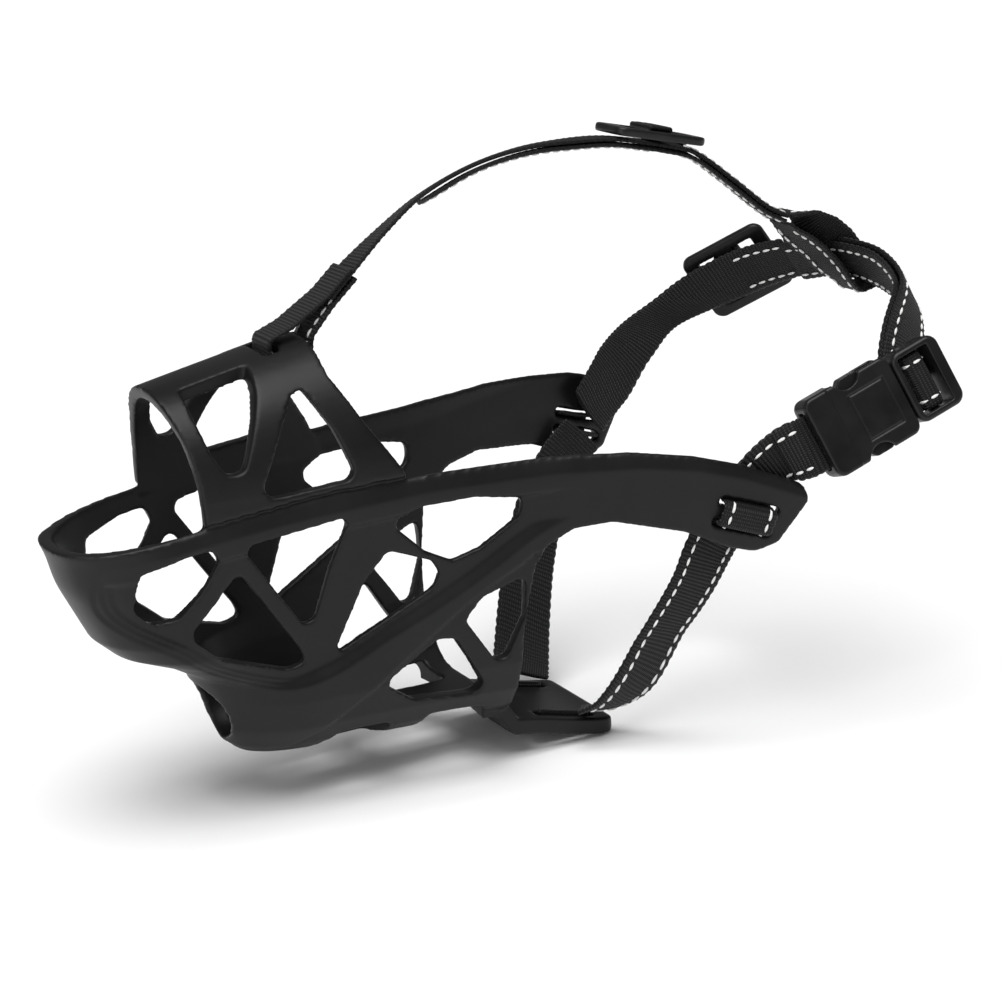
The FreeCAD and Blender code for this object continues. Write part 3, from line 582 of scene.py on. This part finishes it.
def make_webbing(name, rows, width, thick, material, selvedge=0.28):
    """Woven webbing: raised cross ribs on both faces and bumpy selvedges."""
    _, across, face = axes_of(rows)
    count = len(rows)
    travelled = np.arange(count) * RIB / ROWS_PER_RIB
    spread = np.linspace(-1, 1, SIDE_COLUMNS)
    spread = np.sign(spread) * (1 - (1 - np.abs(spread)) ** 1.25)
    rib = np.abs(np.cos(math.pi * travelled / RIB))
    edge_bump = np.abs(np.sin(math.pi * travelled / (2 * RIB)))
    points, uvs = [], []
    for side, columns in ((1, spread), (-1, spread[::-1][1:-1])):
        for v in columns:
            body = (1 - abs(v) ** 9) ** 0.5
            border = math.exp(-((abs(v) - 0.9) / 0.07) ** 2)
            height = thick / 2 * body + 0.16 * (rib - 0.6) * body + 0.14 * border * edge_bump
            swell = np.sign(v) * selvedge * (edge_bump - 0.5) * step(abs(v), 0.8, 1)
            lateral = v * width / 2 + swell
            points.append(rows[:, :3] + across * np.reshape(lateral, (-1, 1))
                          + face * (side * height)[:, None])
            uvs.append(np.stack([travelled, np.full(count, v * width / 2)], axis=1))
    ring = len(points)
    points = np.stack(points, axis=1).reshape(-1, 3)
    uvs = np.stack(uvs, axis=1).reshape(-1, 2)
    faces = []
    for row in range(count - 1):
        for column in range(ring):
            beside = (column + 1) % ring
            faces.append((row * ring + column, (row + 1) * ring + column,
                          (row + 1) * ring + beside, row * ring + beside))
    faces.append(tuple(range(ring)))
    faces.append(tuple((count - 1) * ring + column for column in reversed(range(ring))))
    return make_piece(name, flexed(points), faces, material, uvs)


STITCH_PITCH, STITCH_LENGTH, STITCH_WIDTH = 3.0, 2.15, 0.78
STITCH_RINGS, STITCH_SIDES = 6, 6


def make_stitches(name, parts):
    """Short white stitches: parts are (rows, lift, start, end, sideways offset) along webbing."""
    points, faces = [], []
    for rows, lift, start, end, sideways in parts:
        ahead, across, face = axes_of(rows)
        travelled = np.arange(len(rows)) * RIB / ROWS_PER_RIB
        end = min(end, travelled[-1] - STITCH_LENGTH)
        for begin in np.arange(start, end, STITCH_PITCH):
            first = sum(len(group) for group in points)
            group = []
            for ring in range(STITCH_RINGS):
                share = ring / (STITCH_RINGS - 1)
                at = begin + share * STITCH_LENGTH
                row = min(int(round(at / (RIB / ROWS_PER_RIB))), len(rows) - 1)
                swell = math.sqrt(max(0.06, 1 - (2 * share - 1) ** 2))
                centre = rows[row, :3] + face[row] * lift + across[row] * sideways
                for side in range(STITCH_SIDES):
                    turn = 2 * math.pi * side / STITCH_SIDES
                    group.append(centre + across[row] * (STITCH_WIDTH / 2 * swell * math.cos(turn))
                                 + face[row] * (0.3 * swell * math.sin(turn)))
            points.append(group)
            for ring in range(STITCH_RINGS - 1):
                for side in range(STITCH_SIDES):
                    beside = (side + 1) % STITCH_SIDES
                    low = first + ring * STITCH_SIDES
                    high = low + STITCH_SIDES
                    faces.append((low + side, high + side, high + beside, low + beside))
            faces.append(tuple(first + side for side in range(STITCH_SIDES)))
            last = first + (STITCH_RINGS - 1) * STITCH_SIDES
            faces.append(tuple(last + side for side in reversed(range(STITCH_SIDES))))
    return make_piece(name, flexed(np.array([p for group in points for p in group])), faces, THREAD)


def mirrored_rows(rows):
    return rows * (1, -1, 1, 1, -1, 1)


def both_rows(rows, lift, start, end, offset=5.0):
    """The pair of stitch lines beside the webbing's edges."""
    return [(rows, lift, start, end, side * offset) for side in (-1, 1)]


def settle(piece, body, slot, *nodes):
    """Puts a piece on its body and hides the CAD nodes it stands for; the slot is not used."""
    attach(piece, body)
    if nodes:
        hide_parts(*nodes)


def side_view_run(points):
    """Rows for overhead webbing that lies flat across the muzzle, with its face turned if given."""
    stations = []
    last = len(points) - 1
    for index, (x, z, turn) in enumerate(points):
        x0, z0, _ = points[max(index - 1, 0)]
        x1, z1, _ = points[min(index + 1, last)]
        upright = unit((-(z1 - z0), 0, x1 - x0))
        angle = math.radians(turn)
        normal = upright * math.cos(angle) - np.array((0, 1, 0)) * math.sin(angle)
        stations.append(((x, 0, z), normal))
    return laid_run(stations)


def side_plane(u, v):
    return np.array((u, 0.0, v))


FACE = WEB_THICK / 2 + 0.16
NARROW_FACE = NARROW_THICK / 2 + 0.16


def make_wing_webbing():
    """Webbing over the bar of each wing, and the chin strap from there to the tab."""
    out = WALL / 2 + GAP + WEB_THICK / 2 + 0.5
    path = [(-SLOT, 1.2 - INSIDE), (-SLOT, out), (SLOT, out), (SLOT, 1.2 - INSIDE)]

    def wing_plane(u, v):
        return WING_BAR.at(0, u, v)

    wrap = folded_run(path, wing_plane, 0.9, -1)
    near, far = laid_run(chin_stations(2.5)), laid_run(chin_stations(-3.0))
    for side, wrap_rows, chin_rows in (("near", wrap, near),
                                       ("far", mirrored_rows(wrap), mirrored_rows(far))):
        piece = make_webbing("wing_webbing_" + side, wrap_rows, WEB_WIDTH, WEB_THICK, WEBBING)
        settle(piece, "muzzle", "webbing", "wing_wrap_" + side)
        piece = make_webbing("chin_webbing_" + side, chin_rows, WEB_WIDTH, WEB_THICK, WEBBING)
        settle(piece, "muzzle", "webbing", "chin_strap_" + side)
        lines = both_rows(chin_rows, FACE, 1.0, 90) + both_rows(wrap_rows, FACE, 3.4, 12, 5.2)
        settle(make_stitches("stitches_chin_" + side, lines), "muzzle", "reflective_thread")

    def tab_plane(u, v):
        return np.array((CHIN_X, u, v))

    level = 1.9 - GAP - WEB_THICK / 2
    bridge = folded_run([(-12.2, 5.2), (-12.2, level), (12.2, level), (12.2, 5.2)], tab_plane, 0.9)
    piece = make_webbing("chin_webbing_bridge", bridge, WEB_WIDTH, WEB_THICK, WEBBING)
    settle(piece, "muzzle", "webbing", "chin_strap_bridge")


def make_neck_webbing():
    """The neck strap: near side with its sewn return, far side, and the loose rear part."""
    near = laid_run(NECK_NEAR)
    piece = make_webbing("neck_webbing_near", near, WEB_WIDTH, WEB_THICK, WEBBING)
    settle(piece, "muzzle", "webbing", "neck_strap_near")
    doubled = shifted(laid_run(NECK_NEAR[2:4]), LAYER - 0.35)
    piece = make_webbing("neck_webbing_near_return", doubled, WEB_WIDTH, WEB_THICK, WEBBING)
    settle(piece, "muzzle", "webbing", "neck_strap_near_return")
    lines = both_rows(near, FACE, 6.0, 15) + both_rows(doubled, FACE, 0.3, 9)
    settle(make_stitches("stitches_neck_near", lines), "muzzle", "reflective_thread")

    far = laid_run(NECK_FAR)
    piece = make_webbing("neck_webbing_far", far, WEB_WIDTH, WEB_THICK, WEBBING)
    settle(piece, "muzzle", "webbing", "neck_strap_far")
    sewn = laid_run(NECK_FAR[6:])
    settle(make_stitches("stitches_neck_far", both_rows(sewn, -FACE, 8.0, 40)),
           "muzzle", "reflective_thread")

    rear = laid_run(NECK_REAR)
    layers = [
        (make_webbing("neck_webbing_rear", rear, WEB_WIDTH, WEB_THICK, WEBBING),
         "webbing", ["neck_strap_rear"]),
        (make_webbing("neck_webbing_return", shifted(rear, -LAYER), WEB_WIDTH, WEB_THICK, WEBBING),
         "webbing", ["neck_strap_return"]),
        (make_stitches("stitches_neck_rear", both_rows(rear, FACE, 0.5, 90)
                       + both_rows(shifted(rear, -LAYER), -FACE, 0.5, 90)),
         "reflective_thread", ["reflective_thread"]),
    ]
    for piece, slot, nodes in layers:
        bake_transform(piece)
        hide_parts(*nodes)


def make_overhead_webbing():
    """The narrow strap over the forehead, with its sewn loops, tail and doubled rear run."""
    front = side_view_run(OVERHEAD_FRONT)
    rear = side_view_run(OVERHEAD_REAR)
    tail = shifted(side_view_run(OVERHEAD_FRONT[3:]), -NARROW_LAYER)
    loop_front = folded_run(OVERHEAD_LOOP_FRONT, side_plane, 1.6, -1)
    loop_rear = folded_run(OVERHEAD_LOOP_REAR, side_plane, 1.8, -1)
    loop_rear = turned(turned(loop_rear, 2, 40, -58, 3.2), 48, 78, 18)
    runs = [("overhead_webbing_front", front, "overhead_strap_front"),
            ("overhead_webbing_tail", tail, "overhead_strap_tail"),
            ("overhead_webbing_rear", rear, "overhead_strap_rear"),
            ("overhead_webbing_return", shifted(rear, -NARROW_LAYER), "overhead_strap_return"),
            ("overhead_webbing_loop_front", loop_front, "overhead_loop_front"),
            ("overhead_webbing_loop_rear", loop_rear, "overhead_loop_rear")]
    for name, rows, node in runs:
        piece = make_webbing(name, rows, NARROW_WIDTH, NARROW_THICK, NARROW_WEBBING, 0.18)
        settle(piece, "muzzle", "narrow_webbing", node)
    lines = []
    for rows, lift, start, end in ((tail, -NARROW_FACE, 0.5, 80), (rear, NARROW_FACE, 8, 60),
                                   (shifted(rear, -NARROW_LAYER), -NARROW_FACE, 8, 60),
                                   (loop_front, NARROW_FACE, 0.5, 60),
                                   (loop_rear, NARROW_FACE, 0.5, 90)):
        lines += both_rows(rows, lift, start, end, 3.2)
    settle(make_stitches("stitches_overhead", lines), "muzzle", "reflective_thread")


# ---------------------------------------------------------------- buckle and sliders
def make_hardware():
    """Buckle halves, latch arms and sliders as rounded mouldings."""
    body_of = {node: body for body, nodes in frame["record"]["behaviour"]["bodies"].items()
               for node in nodes}
    kinds = [("buckle_female", 0.27, 5, BUCKLE_PLASTIC, "buckle_plastic"),
             ("buckle_male", 0.27, 5, BUCKLE_PLASTIC, "buckle_plastic"),
             ("buckle_latch_upper", 0.25, 4, BUCKLE_PLASTIC, "buckle_plastic"),
             ("buckle_latch_lower", 0.25, 4, BUCKLE_PLASTIC, "buckle_plastic"),
             ("neck_adjuster", 0.27, 4, SLIDER_PLASTIC, "slider_plastic"),
             ("overhead_slider", 0.25, 4, SLIDER_PLASTIC, "slider_plastic")]
    for node, voxel, smoothing, material, slot in kinds:
        piece = remeshed(node + "_moulding", node, voxel, smoothing, material)
        if node == "buckle_female":
            engrave_socket(piece)
        settle(piece, body_of[node], slot, node)


PANEL_MIDDLE, PANEL_HALF_LENGTH, PANEL_HALF_WIDTH = 17.2, 5.2, 6.2  # engraved on the socket
GROOVE_WIDTH, GROOVE_DEPTH = 0.32, 0.3
LIP_END, LIP_PROUD = 7.6, 0.45


def engrave_socket(piece):
    """A shallow rectangular outline and a grip step on the faces of the buckle's socket."""
    points, _ = points_of(piece)
    u, v, w = BUCKLE.measure(points)
    outline = np.maximum(np.abs(u - PANEL_MIDDLE) - PANEL_HALF_LENGTH,
                         np.abs(v) - PANEL_HALF_WIDTH)
    groove = np.exp(-(outline / GROOVE_WIDTH) ** 2)
    lip = step(LIP_END - u, 0, 0.8)
    depth = (GROOVE_DEPTH * groove - LIP_PROUD * lip) * step(np.abs(w), 2.9, 3.3)
    set_points(piece, points - np.sign(w)[:, None] * depth[:, None] * BUCKLE.out)


FOLD_REACH, FOLD_BACK, FOLD_FRONT = 2.1, -5.4, 1.8  # of the webbing round the plug's bar
SLIDER_BAR = 2.2  # half-width of a slider's middle bar, and how thick the slider is


def make_wraps():
    """Webbing through the plug's frame and round the middle bar of each slider."""
    fold = [(MALE_BAR - FOLD_REACH, FOLD_BACK), (MALE_BAR - FOLD_REACH, FOLD_FRONT),
            (MALE_BAR + FOLD_REACH, FOLD_FRONT), (MALE_BAR + FOLD_REACH, FOLD_BACK)]

    def plug_plane(u, v):
        return BUCKLE.at(u, 0, v)

    rows = folded_run(fold, plug_plane, 1.0, -1)
    settle(make_webbing("buckle_webbing_fold", rows, WEB_WIDTH, WEB_THICK, WEBBING),
           "buckle_plug", "webbing", "buckle_strap_fold")
    settle(make_stitches("stitches_buckle_fold", both_rows(rows, FACE, 5.2, 12)),
           "buckle_plug", "reflective_thread")
    for place, width, thick, material, slot, node in (
            (ADJUSTER, WEB_WIDTH, WEB_THICK, WEBBING, "webbing", "neck_adjuster"),
            (SLIDER, NARROW_WIDTH, NARROW_THICK, NARROW_WEBBING, "narrow_webbing",
             "overhead_slider")):
        top = -WEB_THICK / 2 - GAP
        deep = top - SLIDER_BAR - GAP - thick / 2
        reach = SLIDER_BAR + GAP + thick / 2
        path = [(-reach, top), (-reach, deep), (reach, deep), (reach, top)]
        rows = folded_run(path, lambda u, v, place=place: place.at(u, 0, v), 0.8)
        piece = make_webbing(node + "_webbing", rows, width, thick, material, 0.18)
        settle(piece, node, slot, node + "_wrap")


# ---------------------------------------------------------------- floor, light and camera
def make_stage():
    """A plain pale floor just under the hanging tab."""
    half, level = 4.0, CAD_BOX[0][2] - (TAB_DROP + 0.5) * MM
    mesh = bpy.data.meshes.new("studio_floor")
    corners = [(-half, -half, level), (half, -half, level), (half, half, level),
               (-half, half, level)]
    mesh.from_pydata(corners, [], [(0, 1, 2, 3)])
    mesh.materials.append(floor_material())
    floor = bpy.data.objects.new("studio_floor", mesh)
    bpy.context.scene.collection.objects.link(floor)


def add_light(name, place, power, size, target=(0.0, 0.0, 0.06)):
    """A square softbox turned towards the target."""
    data = bpy.data.lights.new(name, "AREA")
    data.energy = power
    data.size = size
    light = bpy.data.objects.new(name, data)
    light.location = place
    aim = Vector(target) - Vector(place)
    light.rotation_euler = aim.to_track_quat("-Z", "Y").to_euler()
    bpy.context.scene.collection.objects.link(light)


def make_lights():
    """Soft studio light from above, with a weaker fill from the front."""
    sky = bpy.data.lights.new("ceiling", "SUN")
    sky.energy = 3.1
    sky.angle = math.radians(50)
    ceiling = bpy.data.objects.new("ceiling", sky)
    ceiling.rotation_euler = (math.radians(14), math.radians(-10), 0)
    bpy.context.scene.collection.objects.link(ceiling)
    add_light("front_softbox", (-0.9, -0.5, 0.45), 2.5, 0.6)
    world = bpy.data.worlds.new("studio")
    world.use_nodes = True
    background = world.node_tree.nodes["Background"]
    background.inputs["Color"].default_value = (1, 1, 1, 1)
    background.inputs["Strength"].default_value = 0.22
    bpy.context.scene.world = world
    bpy.context.scene.view_settings.view_transform = "Standard"


AZIMUTH, ELEVATION, ROLL = -28.7, 17.4, -2.4  # degrees
DISTANCE, LENS = 0.628, 88.6  # metres and millimetres
TARGET = Vector((0.0051, 0.0, 0.0565))


def make_camera():
    """The camera at the photograph's angle."""
    a, e = math.radians(AZIMUTH), math.radians(ELEVATION)
    back = Vector((math.sin(a) * math.cos(e), -math.cos(a) * math.cos(e), math.sin(e)))
    data = bpy.data.cameras.new("camera")
    data.lens = LENS
    data.sensor_width = 36.0
    data.clip_start, data.clip_end = 0.01, 20.0
    camera = bpy.data.objects.new("camera", data)
    rolled = (-back).to_track_quat("-Z", "Y").to_matrix() @ Matrix.Rotation(
        math.radians(ROLL), 3, "Z")
    camera.matrix_world = Matrix.Translation(TARGET + back * DISTANCE) @ rolled.to_4x4()
    bpy.context.scene.collection.objects.link(camera)
    bpy.context.scene.camera = camera


make_camera()
make_lights()
make_stage()
make_basket()
make_wing_webbing()
make_neck_webbing()
make_overhead_webbing()
make_hardware()
make_wraps()
